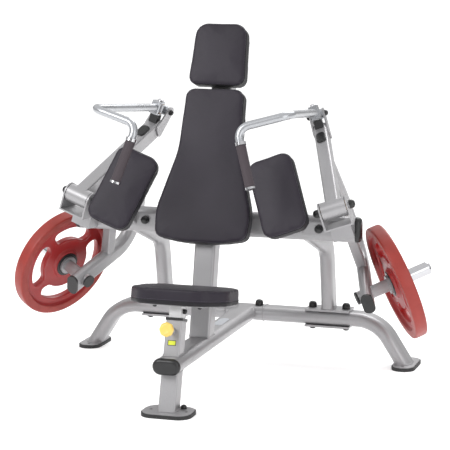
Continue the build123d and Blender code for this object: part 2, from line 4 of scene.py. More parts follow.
import bmesh
import bpy
from bpy.props import FloatProperty, FloatVectorProperty, IntProperty, PointerProperty
from mathutils import Matrix, Vector


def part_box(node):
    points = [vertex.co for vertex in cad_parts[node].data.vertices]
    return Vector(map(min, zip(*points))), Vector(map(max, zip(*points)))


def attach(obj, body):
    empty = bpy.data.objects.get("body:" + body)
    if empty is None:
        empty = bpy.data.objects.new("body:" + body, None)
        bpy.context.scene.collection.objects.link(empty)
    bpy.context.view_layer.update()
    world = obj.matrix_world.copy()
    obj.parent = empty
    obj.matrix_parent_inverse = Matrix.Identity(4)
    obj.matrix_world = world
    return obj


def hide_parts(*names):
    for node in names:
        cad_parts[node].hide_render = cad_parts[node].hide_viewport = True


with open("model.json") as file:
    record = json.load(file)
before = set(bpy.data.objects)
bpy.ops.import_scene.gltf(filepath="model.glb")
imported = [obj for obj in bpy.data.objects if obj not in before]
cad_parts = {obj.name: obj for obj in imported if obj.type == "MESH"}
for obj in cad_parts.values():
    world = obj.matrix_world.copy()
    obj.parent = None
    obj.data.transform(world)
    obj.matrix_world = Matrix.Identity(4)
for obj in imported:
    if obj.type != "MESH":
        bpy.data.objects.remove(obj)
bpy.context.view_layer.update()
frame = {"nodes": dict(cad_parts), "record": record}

bl_info = {
    "name": "Plate-loaded press machine",
    "version": (1, 0, 0),
    "blender": (4, 5, 0),
    "location": "3D View > Sidebar > Press machine",
    "description": "Upholstery, plates, trims and finishes for a plate-loaded press machine",
    "category": "Object",
}

SIDES = {"right": 1.0, "left": -1.0}
MM = 0.001


# ---------------------------------------------------------------- sizes and colours
def colour_property(name, description, value):
    return FloatVectorProperty(
        name=name, description=description, subtype="COLOR", size=3, min=0, max=1, default=value)


def length_property(name, description, value):
    return FloatProperty(
        name=name, description=description, unit="LENGTH", min=0.0001, default=value)


class PressColours(bpy.types.PropertyGroup):
    frame_coat: colour_property(
        "Frame coat", "Metallic grey powder coat of the tubes", (0.36, 0.355, 0.365))
    silver_coat: colour_property(
        "Handle coat", "Glossy silver of the handle tubes", (0.42, 0.43, 0.45))
    light_coat: colour_property("Seat post coat", "Pale seat post", (0.72, 0.72, 0.73))
    leatherette: colour_property("Leatherette", "Faces of the pads", (0.018, 0.014, 0.022))
    leatherette_band: colour_property(
        "Leatherette band", "Sides of the pads", (0.008, 0.007, 0.010))
    thread: colour_property("Thread", "Stitches beside the seams", (0.075, 0.068, 0.090))
    grip: colour_property("Grip", "Foam sleeves of the handles", (0.060, 0.048, 0.055))
    plate_face: colour_property("Plate face", "Enamel on the weight plates", (0.31, 0.008, 0.008))
    # The rim colour is paler and pinker than the face: a painted highlight where the rims catch
    # the light.
    plate_rim_highlight: colour_property("Plate rim highlight", "Paler enamel on the plate rims, a painted highlight",
                               (0.28, 0.019, 0.011))
    chrome: colour_property("Chrome", "Horn sleeves and collars", (0.55, 0.55, 0.57))
    steel: colour_property("Steel", "Axles, pins and wire", (0.50, 0.50, 0.51))
    bronze: colour_property("Bronze", "Bushings and thrust washers", (0.46, 0.27, 0.10))
    black: colour_property("Black plastic", "Caps and plugs", (0.012, 0.012, 0.013))
    rubber: colour_property("Rubber", "Foot shoes and stops", (0.018, 0.018, 0.019))
    board: colour_property("Board", "Stained plywood behind the pads", (0.020, 0.018, 0.017))
    knob: colour_property("Knob", "Yellow knob of the seat pin", (0.88, 0.60, 0.14))
    label: colour_property("Label", "Blank label on the seat sleeve", (0.66, 0.72, 0.05))
    badge: colour_property("Badge", "Blank badge on the spine", (0.62, 0.64, 0.68))
    floor: colour_property("Floor", "Studio floor", (0.93, 0.93, 0.93))


class PressSizes(bpy.types.PropertyGroup):
    pad_voxel: length_property("Pad grain", "Edge length of the pads' mesh", 0.005)
    pad_shrink: length_property("Pad start", "How much smaller a pad starts", 0.0012)
    pad_swell: length_property("Pad swell", "Most that the padding pushes out", 0.004)
    seam_depth: length_property("Seam depth", "Face seam below the front of a pad", 0.013)
    seat_seam_depth: length_property("Seat seam depth", "Seam below the top of the seat", 0.044)
    seam_radius: length_property("Seam bead", "Radius of the seam's bead", 0.0018)
    stitch_step: length_property("Stitch step", "Distance from stitch to stitch", 0.0062)
    plate_radius: length_property("Plate radius", "Outside radius of a weight plate", 0.225)
    plate_thickness: length_property("Plate thickness", "Across a plate's rim", 0.050)
    plate_bore: length_property("Plate bore", "Radius of a plate's hole", 0.0254)
    grip_radius: length_property("Grip radius", "Outside radius of a grip", 0.0185)
    knob_radius: length_property("Knob radius", "Outside radius of the knob", 0.027)
    clip_wire: length_property("Clip wire", "Radius of the clip's wire", 0.003)
    weld_radius: length_property("Weld bead", "Radius of a weld bead", 0.0026)
    swell_frames: IntProperty(
        name="Swell frames", description="Steps of the padding simulation", min=2, default=20)


def colours():
    return bpy.context.scene.press_colours


def sizes():
    return bpy.context.scene.press_sizes


# ---------------------------------------------------------------- facts of the frame
def joint(name):
    """A joint of the frame by its name: where it is and which way it points."""
    found = next(j for j in frame["record"]["behaviour"]["joints"] if j["name"] == name)
    return Vector(found.get("pos_m", (0, 0, 0))), Vector(found["axis"]).normalized()


# The plate's inner face, the seat pin and the grips, as the CAD builds them.
HORN_FACE = Vector((0.650, 0.660, 0.385))
GRIP_FROM, GRIP_TO = Vector((0.203, 0.199, 0.962)), Vector((0.253, 0.158, 0.805))
POST_LEAN = radians(16)
POST_UP = Vector((0, sin(POST_LEAN), cos(POST_LEAN)))
POST_OUT = Vector((0, -cos(POST_LEAN), sin(POST_LEAN)))
PAD_LEAN = radians(19.5)
SEAT_TILT = radians(8)
SPINE_TOP, BADGE_Y = 0.206, 0.62


# ---------------------------------------------------------------- materials
def start_material(name, colour, metallic=0.0, roughness=0.5, **sockets):
    """A material whose constants are set on the shader itself."""
    material = bpy.data.materials.new(name)
    material.use_nodes = True
    tree = material.node_tree
    shader = tree.nodes["Principled BSDF"]
    shader.inputs["Base Color"].default_value = (*colour, 1)
    shader.inputs["Metallic"].default_value = metallic
    shader.inputs["Roughness"].default_value = roughness
    for socket, value in sockets.items():
        shader.inputs[socket.replace("_", " ")].default_value = value
    material.diffuse_color = (*colour, 1)
    return material, tree, shader


def place_of(tree):
    return tree.nodes.new("ShaderNodeTexCoord").outputs["Object"]


def noise_of(tree, where, scale, detail=3.0, rough=0.5):
    noise = tree.nodes.new("ShaderNodeTexNoise")
    noise.inputs["Scale"].default_value = scale
    noise.inputs["Detail"].default_value = detail
    noise.inputs["Roughness"].default_value = rough
    tree.links.new(where, noise.inputs["Vector"])
    return noise.outputs[0]


def cells_of(tree, where, scale, feature="F1"):
    cells = tree.nodes.new("ShaderNodeTexVoronoi")
    cells.feature = feature
    cells.inputs["Scale"].default_value = scale
    tree.links.new(where, cells.inputs["Vector"])
    return cells.outputs["Distance"]


def between(tree, value, low, high, start=0.3, end=0.7):
    """Turns a pattern into a number between two values."""
    ranger = tree.nodes.new("ShaderNodeMapRange")
    for socket, number in (("From Min", start), ("From Max", end), ("To Min", low),
                           ("To Max", high)):
        ranger.inputs[socket].default_value = number
    tree.links.new(value, ranger.inputs["Value"])
    return ranger.outputs["Result"]


def shades(tree, value, colour, darker, lighter, start=0.3, end=0.7):
    """Colours a pattern from a darker to a lighter shade of one colour."""
    ramp = tree.nodes.new("ShaderNodeValToRGB")
    low, high = ramp.color_ramp.elements
    low.position, high.position = start, end
    low.color = (*[c * darker for c in colour], 1)
    high.color = (*[min(c * lighter, 1) for c in colour], 1)
    tree.links.new(value, ramp.inputs["Fac"])
    return ramp.outputs["Color"]


def relief(tree, shader, *layers):
    """Stacks bumps: each layer is (height, strength, distance in metres)."""
    normal = None
    for height, strength, distance in layers:
        bump = tree.nodes.new("ShaderNodeBump")
        bump.inputs["Strength"].default_value = strength
        bump.inputs["Distance"].default_value = distance
        tree.links.new(height, bump.inputs["Height"])
        if normal:
            tree.links.new(normal, bump.inputs["Normal"])
        normal = bump.outputs["Normal"]
    tree.links.new(normal, shader.inputs["Normal"])


def coat_finish(name, colour, metallic, rough, flake=0.10):
    """Sprayed metallic coat: fine flakes, a soft mottle and a slight orange peel."""
    material, tree, shader = start_material(
        name, colour, metallic, Coat_Weight=0.25, Coat_Roughness=0.28)
    where = place_of(tree)
    flakes = noise_of(tree, where, 1400, 2.0, 0.7)
    tree.links.new(shades(tree, flakes, colour, 1 - flake, 1 + flake, 0.35, 0.65),
                   shader.inputs["Base Color"])
    mottle = noise_of(tree, where, 9, 4.0)
    tree.links.new(between(tree, mottle, rough - 0.05, rough + 0.06),
                   shader.inputs["Roughness"])
    relief(tree, shader, (noise_of(tree, where, 420, 2.0), 0.10, 0.0004))
    return material


def leatherette_finish(name, colour, rough=0.42):
    """Grained leatherette: small pebbles, faint creases and a slow change of shade."""
    material, tree, shader = start_material(
        name, colour, Sheen_Weight=0.02, Sheen_Roughness=0.4, Specular_IOR_Level=0.30)
    where = place_of(tree)
    slow = noise_of(tree, where, 7, 3.0)
    tree.links.new(shades(tree, slow, colour, 0.90, 1.12), shader.inputs["Base Color"])
    pebbles = cells_of(tree, where, 520)
    tree.links.new(between(tree, pebbles, rough - 0.05, rough + 0.10, 0.1, 0.7),
                   shader.inputs["Roughness"])
    relief(tree, shader, (noise_of(tree, where, 34, 3.0), 0.10, 0.002),
           (pebbles, 0.22, 0.0004))
    return material


def grip_finish(name, colour):
    """Dense foam: open pores and a dull skin."""
    material, tree, shader = start_material(name, colour, Specular_IOR_Level=0.3)
    where = place_of(tree)
    pores = noise_of(tree, where, 900, 3.0, 0.7)
    tree.links.new(shades(tree, pores, colour, 0.75, 1.25), shader.inputs["Base Color"])
    tree.links.new(between(tree, pores, 0.55, 0.75), shader.inputs["Roughness"])
    relief(tree, shader, (pores, 0.25, 0.0006))
    return material


def enamel_finish(name, colour, rough, wear):
    """Enamel on a rough casting: shade drifts, pits show and the gloss is uneven."""
    material, tree, shader = start_material(
        name, colour, Coat_Weight=0.2, Coat_Roughness=0.25)
    where = place_of(tree)
    drift = noise_of(tree, where, 16, 5.0, 0.6)
    tree.links.new(shades(tree, drift, colour, 1 - wear, 1 + wear), shader.inputs["Base Color"])
    tree.links.new(between(tree, drift, rough + 0.08, rough - 0.06),
                   shader.inputs["Roughness"])
    relief(tree, shader, (noise_of(tree, where, 240, 3.0), 0.18, 0.0006))
    return material


def metal_finish(name, colour, rough, streak=0.03):
    """Bright metal with faint handling marks."""
    material, tree, shader = start_material(name, colour, metallic=1.0)
    where = place_of(tree)
    marks = noise_of(tree, where, 70, 5.0, 0.65)
    tree.links.new(between(tree, marks, max(rough - streak, 0.02), rough + streak),
                   shader.inputs["Roughness"])
    tree.links.new(shades(tree, marks, colour, 0.95, 1.03), shader.inputs["Base Color"])
    relief(tree, shader, (marks, 0.02, 0.0003))
    return material


def moulded_finish(name, colour, rough, grain=500, depth=0.10):
    """Moulded plastic or rubber with a fine skin."""
    material, tree, shader = start_material(name, colour)
    where = place_of(tree)
    skin = noise_of(tree, where, grain, 3.0)
    tree.links.new(between(tree, skin, rough - 0.04, rough + 0.06), shader.inputs["Roughness"])
    tree.links.new(shades(tree, noise_of(tree, where, 25, 2.0), colour, 0.85, 1.2),
                   shader.inputs["Base Color"])
    relief(tree, shader, (skin, depth, 0.0004))
    return material


def board_finish(name, colour):
    """Black-stained plywood: the grain runs up the board."""
    material, tree, shader = start_material(name, colour)
    stretch = tree.nodes.new("ShaderNodeMapping")
    stretch.inputs["Scale"].default_value = (60, 60, 5)
    tree.links.new(place_of(tree), stretch.inputs["Vector"])
    grain = noise_of(tree, stretch.outputs["Vector"], 3, 5.0, 0.6)
    tree.links.new(shades(tree, grain, colour, 0.7, 1.5), shader.inputs["Base Color"])
    tree.links.new(between(tree, grain, 0.55, 0.75), shader.inputs["Roughness"])
    relief(tree, shader, (grain, 0.2, 0.0005))
    return material


def finishes():
    """Every finish by its name, made once."""
    kept = {m["press_finish"]: m for m in bpy.data.materials if "press_finish" in m}
    if kept:
        return kept
    c = colours()
    made = {
        "frame_coat": coat_finish("Grey powder coat", c.frame_coat, 0.55, 0.40),
        "silver_coat": coat_finish("Silver gloss coat", c.silver_coat, 0.75, 0.30, 0.05),
        "light_coat": coat_finish("Pale coat", c.light_coat, 0.35, 0.30, 0.05),
        "leatherette": leatherette_finish("Pad leatherette", c.leatherette),
        "band": leatherette_finish("Pad side leatherette", c.leatherette_band, 0.46),
        "thread": moulded_finish("Seam thread", c.thread, 0.6, 2000, 0.2),
        "grip_rubber": grip_finish("Grip foam", c.grip),
        "red_coat": enamel_finish("Red enamel", c.plate_face, 0.34, 0.10),
        # Same enamel as the face: the rim's paler colour is a painted highlight, and its higher
        # roughness is the rim's own duller gloss.
        "rim_coat": enamel_finish("Red rim enamel", c.plate_rim_highlight, 0.50, 0.12),
        "chrome_plate": metal_finish("Chrome plate", c.chrome, 0.10),
        "bare_steel": metal_finish("Zinc-plated steel", c.steel, 0.30, 0.06),
        "bronze": metal_finish("Bronze", c.bronze, 0.34, 0.06),
        "black_plastic": moulded_finish("Black plastic", c.black, 0.30),
        "black_rubber": moulded_finish("Black rubber", c.rubber, 0.62, 300, 0.25),
        "board_wood": board_finish("Stained plywood", c.board),
        "yellow_plastic": moulded_finish("Yellow plastic", c.knob, 0.30),
        "label": moulded_finish("Label vinyl", c.label, 0.38, 900, 0.04),
        "badge": metal_finish("Badge plate", c.badge, 0.36, 0.04),
    }
    for key, material in made.items():
        material["press_finish"] = key
    return made


# ---------------------------------------------------------------- shared piece work
def settled(obj, body, finish, slot_name, *replaced):
    """Gives a piece its finish and its body, and hides the CAD nodes it stands for; its slot name
    is not used.
    """
    if finish:
        obj.data.materials.append(finishes()[finish])
    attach(obj, body)
    if replaced:
        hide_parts(*replaced)
    return obj


def new_piece(name, work, smooth=True):
    """An object from a bmesh, which is freed."""
    mesh = bpy.data.meshes.new(name)
    work.to_mesh(mesh)
    work.free()
    if smooth:
        mesh.shade_smooth()
    obj = bpy.data.objects.new(name, mesh)
    bpy.context.scene.collection.objects.link(obj)
    return obj


def baked(obj):
    """Applies a piece's stack."""
    bpy.context.view_layer.update()
    shape = obj.evaluated_get(bpy.context.evaluated_depsgraph_get())
    mesh = bpy.data.meshes.new_from_object(shape)
    obj.modifiers.clear()
    obj.data = mesh
    return obj


def placed(obj, place):
    """Puts a piece's place into its mesh and turns a mirrored one right side out."""
    obj.data.transform(place)
    if place.to_3x3().determinant() < 0:
        obj.data.flip_normals()
    obj.data.update()
    return obj


def standing(point, axis, side=1.0):
    """The place of a piece made upright at the origin, to stand on a point along an axis."""
    turn = axis.to_track_quat("Z", "Y").to_matrix().to_4x4()
    return Matrix.Diagonal((side, 1, 1, 1)) @ Matrix.Translation(point) @ turn


def turned(name, profile, steps=48):
    """A turned piece from (radius, height) points in millimetres, top to bottom."""
    work = bmesh.new()
    points = [work.verts.new((r * MM, 0, z * MM)) for r, z in profile]
    for a, b in zip(points, points[1:]):
        work.edges.new((a, b))
    obj = new_piece(name, work, smooth=False)
    screw = obj.modifiers.new("Turn", "SCREW")
    screw.steps = screw.render_steps = steps
    screw.use_merge_vertices = True
    screw.merge_threshold = 1e-6
    screw.use_smooth_shade = True
    baked(obj)
    work = bmesh.new()
    work.from_mesh(obj.data)
    bmesh.ops.remove_doubles(work, verts=work.verts, dist=1e-6)
    bmesh.ops.recalc_face_normals(work, faces=work.faces)
    work.to_mesh(obj.data)
    work.free()
    return obj


def ring_profile(inner, outer, low, high, round_by):
    """A closed ring's section with rounded corners, from its inner wall round."""
    points = []
    for centre_r, centre_z, start in (
            (outer - round_by, high - round_by, 90), (outer - round_by, low + round_by, 0),
            (inner + round_by, low + round_by, -90), (inner + round_by, high - round_by, -180)):
        for step in range(4):
            turn = radians(start - 30 * step)
            points.append((centre_r + round_by * cos(turn), centre_z + round_by * sin(turn)))
    return points + [points[0]]


def wire(name, points, radius, closed=False, radii=None, smooth=3):
    """A round wire or bead through points."""
    curve = bpy.data.curves.new(name, "CURVE")
    curve.dimensions = "3D"
    curve.bevel_depth = radius
    curve.bevel_resolution = 2
    curve.use_fill_caps = not closed
    curve.resolution_u = 2
    spline = curve.splines.new("NURBS")
    spline.points.add(len(points) - 1)
    for index, (point, at) in enumerate(zip(spline.points, points)):
        point.co = (*at, 1)
        point.radius = radii[index] if radii else 1.0
    spline.order_u = smooth
    spline.use_cyclic_u = closed
    spline.use_endpoint_u = not closed
    obj = bpy.data.objects.new(name, curve)
    bpy.context.scene.collection.objects.link(obj)
    return obj


def cut_line(mesh, point, normal):
    """The longest closed line where a plane cuts a mesh, as points in order."""
    work = bmesh.new()
    work.from_mesh(mesh)
    bmesh.ops.remove_doubles(work, verts=work.verts, dist=1e-5)
    made = bmesh.ops.bisect_plane(
        work, geom=[*work.verts, *work.edges, *work.faces], dist=1e-7,
        plane_co=point, plane_no=normal)
    edges = [g for g in made["geom_cut"] if isinstance(g, bmesh.types.BMEdge)]
    meeting = {}
    for edge in edges:
        for vert in edge.verts:
            meeting.setdefault(vert, []).append(edge)
    unused, lines = dict.fromkeys(edges), []
    while unused:
        edge = next(iter(unused))
        del unused[edge]
        start, here = edge.verts
        line = [start.co.copy(), here.co.copy()]
        while here is not start:
            onward = next((e for e in meeting[here] if e in unused), None)
            if onward is None:
                break
            del unused[onward]
            here = onward.other_vert(here)
            line.append(here.co.copy())
        lines.append(line)
    work.free()
    if not lines:
        raise RuntimeError("the cutting plane misses the mesh")
    return max(lines, key=lambda line: sum((b - a).length for a, b in zip(line, line[1:])))


def spaced(line, step):
    """Points at an even distance round a closed line."""
    closed = line + [line[0]] if (line[0] - line[-1]).length > 1e-6 else line
    lengths = [(b - a).length for a, b in zip(closed, closed[1:])]
    count = max(int(sum(lengths) / step), 8)
    stride, points, walked, index = sum(lengths) / count, [], 0.0, 0
    for number in range(count):
        target = number * stride
        while walked + lengths[index] < target and index < len(lengths) - 1:
            walked += lengths[index]
            index += 1
        share = (target - walked) / lengths[index] if lengths[index] else 0.0
        points.append(closed[index].lerp(closed[index + 1], share))
    return points


def stitches(name, points, outward, length, radius):
    """A row of short thread stitches, one at each point, lying along the line."""
    work = bmesh.new()
    for here, after in zip(points, points[1:] + points[:1]):
        along = (after - here).normalized()
        up = outward(here)
        across = along.cross(up).normalized()
        rings = []
        for share, thin in ((-0.5, 0.45), (-0.2, 1.0), (0.2, 1.0), (0.5, 0.45)):
            middle = here + along * (length * share) + up * (radius * 0.5 * thin)
            rings.append([work.verts.new(middle + (across * x + up * y) * radius * thin)
                          for x, y in ((-1, -0.6), (-0.6, 0.7), (0.6, 0.7), (1, -0.6))])
        for a, b in zip(rings, rings[1:]):
            for i in range(4):
                work.faces.new((a[i], a[(i + 1) % 4], b[(i + 1) % 4], b[i]))
        work.faces.new(rings[0][::-1])
        work.faces.new(rings[-1])
    bmesh.ops.recalc_face_normals(work, faces=work.faces)
    return new_piece(name, work)


# ---------------------------------------------------------------- pads
PADS = {
    "back": ("back_pad", "frame", Vector((0, -cos(PAD_LEAN), sin(PAD_LEAN)))),
    "head": ("head_pad", "frame", Vector((0, -cos(PAD_LEAN), sin(PAD_LEAN)))),
    "right_arm": ("right_arm_pad", "frame", Vector((-0.068, -0.919, 0.387)).normalized()),
    "left_arm": ("left_arm_pad", "frame", Vector((0.068, -0.919, 0.387)).normalized()),
    "seat": ("seat_pad", "seat_carriage", Vector((0, sin(SEAT_TILT), cos(SEAT_TILT)))),
}


def swell(pad, face):
    """Fills a cover with padding: its back stays on the board and its front pushes out."""
    stations = [v.co.dot(face) for v in pad.data.vertices]
    held = [i for i, s in enumerate(stations) if s < min(stations) + 0.010]
    pad.vertex_groups.new(name="on_board").add(held, 1.0, "REPLACE")
    start = [v.co.copy() for v in pad.data.vertices]
    cloth = pad.modifiers.new("Padding", "CLOTH")
    cover = cloth.settings
    cover.quality = 4
    cover.mass = 0.3
    cover.tension_stiffness = cover.compression_stiffness = 12
    cover.shear_stiffness = 6
    cover.bending_stiffness = 0.6
    cover.use_pressure = True
    cover.uniform_pressure_force = 4
    cover.vertex_group_mass = "on_board"
    cover.effector_weights.gravity = 0
    cloth.collision_settings.use_collision = False
    cloth.point_cache.frame_start = 1
    cloth.point_cache.frame_end = sizes().swell_frames
    scene = bpy.context.scene
    for number in range(1, sizes().swell_frames + 1):
        scene.frame_set(number)
    shape = pad.evaluated_get(bpy.context.evaluated_depsgraph_get())
    moves = [v.co - s for v, s in zip(shape.data.vertices, start)]
    pad.modifiers.remove(cloth)
    most = max(move.length for move in moves)
    share = min(1.0, sizes().pad_swell / most) if most else 0.0
    for vert, begin, move in zip(pad.data.vertices, start, moves):
        vert.co = begin + move * share
    scene.frame_set(1)
    pad.vertex_groups.clear()


def make_pad(name, node, body, face):
    """One pad: a swollen cover, a darker side band, a seam bead and its stitches."""
    s = sizes()
    work = bmesh.new()
    work.from_mesh(frame["nodes"][node].data)
    bmesh.ops.remove_doubles(work, verts=work.verts, dist=1e-5)
    pad = new_piece(name + "_pad_cover", work)
    shrink = pad.modifiers.new("Start smaller", "DISPLACE")
    shrink.strength, shrink.mid_level = -s.pad_shrink, 0
    remesh = pad.modifiers.new("Even mesh", "REMESH")
    remesh.mode, remesh.voxel_size = "VOXEL", s.pad_voxel
    smooth = pad.modifiers.new("Soft edges", "SMOOTH")
    smooth.factor, smooth.iterations = 0.5, 7
    baked(pad)
    swell(pad, face)
    front = max(v.co.dot(face) for v in pad.data.vertices)
    seam_depth = s.seat_seam_depth if name == "seat" else s.seam_depth
    seam_at = front - seam_depth - ((s.pad_swell * 0.6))
    pad.data.materials.append(finishes()["leatherette"])
    pad.data.materials.append(finishes()["band"])
    for polygon in pad.data.polygons:
        polygon.use_smooth = True
        polygon.material_index = int(polygon.center.dot(face) < seam_at)
    seam = cut_line(pad.data, face * seam_at, face)
    centre = sum(seam, Vector()) / len(seam)
    bead = wire(name + "_pad_seam", spaced(seam, 0.006), s.seam_radius, closed=True)
    stitch_line = cut_line(pad.data, face * (seam_at + 0.0055), face)
    row = stitches(
        name + "_pad_stitches", spaced(stitch_line, s.stitch_step),
        lambda at: ((at - centre).normalized() * 0.7 + face * 0.7).normalized(), 0.0040, 0.0006)
    finer = pad.modifiers.new("Finer", "SUBSURF")
    finer.levels = finer.render_levels = 1
    settled(pad, body, None, "leatherette", node)
    settled(bead, body, "band", "leatherette")
    settled(row, body, "thread", "leatherette")


# ---------------------------------------------------------------- weight plates
def plate_rings(angle):
    """Radii and faces of a plate at one angle, in millimetres: (radius, back, front, rim)."""
    slot_middle, slot_end, turn = 134.0, 26.0, 27.0
    away = abs((degrees_in_quarter(angle)))
    beyond = max(radians(away - turn) * slot_middle, 0.0)
    half = sqrt(max(slot_end ** 2 - beyond ** 2, 49.0))
    edge, lip = (13, 37), (11.5, 38.5)
    web = (14, 36)
    if away > 41:
        edge = lip = web
    elif away > 39:
        edge = lip
    return [
        (25.4, 3.5, 46.5), (27.0, 2, 48), (36, 2, 48), (51, 2, 48), (55, 3, 47), (58, 8, 42),
        (61, 13, 37), (65, *web), (85, *web),
        (slot_middle - half - 9, *web), (slot_middle - half - 4.5, *lip),
        (slot_middle - half, *edge), (slot_middle + half, *edge),
        (slot_middle + half + 4.5, *lip), (slot_middle + half + 9, *web),
        (178, *web), (184, 13, 37), (188, 8, 42), (191, 2, 48), (195, 0, 50), (208, 0, 50),
        (219, 0.5, 49.5), (223.5, 3, 47), (225, 8, 42)]


def degrees_in_quarter(angle):
    return (angle + 45) % 90 - 45


QUARTER = [-45, -42.5, -40, -38, -35.5, -33, -30, -25, -20, -15, -10, -5,
           0, 5, 10, 15, 20, 25, 30, 33, 35.5, 38, 40, 42.5]
SLOT_BAND = 11                  # the ring just inside a slot


def plate_cage(name):
    """A coarse plate: two faces of rings and sectors, four slots and the walls between."""
    angles = [90 * q + a for q in range(4) for a in QUARTER]
    work = bmesh.new()
    back, front = [], []
    for angle in angles:
        turn = radians(angle)
        rings = plate_rings(angle)
        for column, height in ((back, 1), (front, 2)):
            column.append([work.verts.new((r[0] * MM * cos(turn), r[0] * MM * sin(turn),
                                           r[height] * MM)) for r in rings])
    count, rings = len(angles), len(back[0])

    def in_slot(column, ring):
        middle = degrees_in_quarter(angles[column % count])
        following = middle + 5 if middle >= 0 else middle + 1
        return ring == SLOT_BAND and -38 <= middle and following <= 39 and middle < 38

    for i in range(count):
        j = (i + 1) % count
        for k in range(rings - 1):
            if in_slot(i, k):
                continue
            work.faces.new((front[i][k], front[i][k + 1], front[j][k + 1], front[j][k]))
            work.faces.new((back[i][k], back[j][k], back[j][k + 1], back[i][k + 1]))
        for k in (0, rings - 1):
            work.faces.new((front[i][k], front[j][k], back[j][k], back[i][k]))
        if in_slot(i, SLOT_BAND):
            for k in (SLOT_BAND, SLOT_BAND + 1):
                work.faces.new((front[i][k], front[j][k], back[j][k], back[i][k]))
        if in_slot(i, SLOT_BAND) != in_slot((i - 1) % count, SLOT_BAND):
            k = SLOT_BAND
            work.faces.new((front[i][k], front[i][k + 1], back[i][k + 1], back[i][k]))
    bmesh.ops.recalc_face_normals(work, faces=work.faces)
    for face in work.faces:
        # Faces beyond 190.5 mm take the rim finish, whose paler colour is a painted highlight.
        face.material_index = int(face.calc_center_median().xy.length > 0.1905)
    return new_piece(name, work)


def make_plate(side_name, side):
    """A weight plate with handholds, and the black ring round its bore on each face."""
    face, axis = HORN_FACE, joint("right_plate_slide")[1]
    plate = placed(plate_cage(side_name + "_plate_casting"), standing(face, axis, side))
    plate.data.materials.append(finishes()["red_coat"])
    plate.data.materials.append(finishes()["rim_coat"])
    round_off = plate.modifiers.new("Round off", "SUBSURF")
    round_off.levels = round_off.render_levels = 2
    settled(plate, side_name + "_plate", None, "red_coat", side_name + "_weight_plate")
    for word, low in (("front", 47.0), ("back", -0.2)):
        ring = turned(f"{side_name}_plate_{word}_ring",
                      ring_profile(26.2, 49, low, low + 3.2, 1.2), 64)
        placed(ring, standing(face, axis, side))
        settled(ring, side_name + "_plate", "black_plastic", "black_plastic")


# ---------------------------------------------------------------- clips, grips, knob
def make_clip(side_name, side):
    """A spring clip: a wire wound almost twice round the horn, with two tails to squeeze."""
    s = sizes()
    coil, low, pitch = 0.0286, 0.0534, 0.0068
    place = standing(HORN_FACE, joint("right_plate_slide")[1], side)
    points = [Vector((-0.036, -0.082, low + 0.006)), Vector((-0.026, -0.058, low + 0.003)),
              Vector((-0.016, -0.036, low))]
    turns = 28
    for step in range(turns + 1):
        turn = radians(248 - 678 * step / turns)
        points.append(Vector((coil * cos(turn), coil * sin(turn),
                              low + pitch * step / turns)))
    high = low + pitch
    points += [Vector((0.016, -0.036, high)), Vector((0.026, -0.058, high + 0.003)),
               Vector((0.036, -0.082, high + 0.006))]
    clip = wire(side_name + "_clip_wire", [place @ p for p in points], s.clip_wire)
    clip.data.resolution_u = 4
    settled(clip, side_name + "_clip", "bare_steel", "bare_steel",
            side_name + "_spring_clip")


def make_grip(side_name, side):
    """A foam grip with rolled ends."""
    along = GRIP_TO - GRIP_FROM
    length, start = along.length / MM, 16.0
    radius = sizes().grip_radius / MM
    profile = [(15.1, length), (radius - 2, length), (radius, length - 2), (radius, length - 9),
               (radius - 0.5, length - 12), (radius - 0.6, (length + start) / 2),
               (radius - 0.5, start + 12), (radius, start + 9), (radius, start + 2),
               (radius - 2, start), (15.1, start), (15.1, length)]
    grip = turned(side_name + "_grip_foam", profile, 40)
    placed(grip, standing(GRIP_FROM, along.normalized(), side))
    soften = grip.modifiers.new("Soften", "SUBSURF")
    soften.levels = soften.render_levels = 1
    settled(grip, side_name + "_handle", "grip_rubber", "grip_rubber",
            side_name + "_handle_grip")


def make_knob():
    """The seat pin's knob: a lobed hand wheel with a dished face."""
    radius = sizes().knob_radius
    work = bmesh.new()
    columns, lobes = 48, 8
    profile = [(0.30, 0.0), (0.62, 0.0), (0.88, 0.10), (1.0, 0.32), (1.0, 0.62), (0.90, 0.86),
               (0.70, 0.98), (0.48, 0.97), (0.40, 0.90), (0.22, 0.90)]
    depth, rings = radius, []
    for share, height in profile:
        rings.append([])
        for column in range(columns):
            turn = 2 * pi * column / columns
            lobe = 1 - 0.06 * (0.5 - 0.5 * cos(lobes * turn)) * (share > 0.6)
            rings[-1].append(work.verts.new(
                (radius * share * lobe * cos(turn), radius * share * lobe * sin(turn),
                 depth * height)))
    for a, b in zip(rings, rings[1:]):
        for i in range(columns):
            j = (i + 1) % columns
            work.faces.new((a[i], a[j], b[j], b[i]))
    work.faces.new(rings[0][::-1])
    work.faces.new(rings[-1])
    bmesh.ops.recalc_face_normals(work, faces=work.faces)
    knob = new_piece("seat_pin_knob", work)
    low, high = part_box("pin_knob")
    middle = (Vector(low) + Vector(high)) / 2
    placed(knob, standing(middle - POST_OUT * 0.0105, POST_OUT))
    finer = knob.modifiers.new("Finer", "SUBSURF")
    finer.levels = finer.render_levels = 1
    settled(knob, "pull_pin", "yellow_plastic", "yellow_plastic", "pin_knob")


# ---------------------------------------------------------------- washers, welds, badges
def make_washers(side_name, side):
    """Bronze thrust washers above and below the swing barrel."""
    at, axis = joint("right_swing")
    for word, height in (("upper", 18.1), ("lower", -19.9)):
        washer = turned(f"{side_name}_{word}_thrust_washer",
                        ring_profile(8.3, 17.5, height, height + 1.8, 0.4), 40)
        placed(washer, standing(at, axis, side))
        settled(washer, side_name + "_cross", "bronze", "bronze")


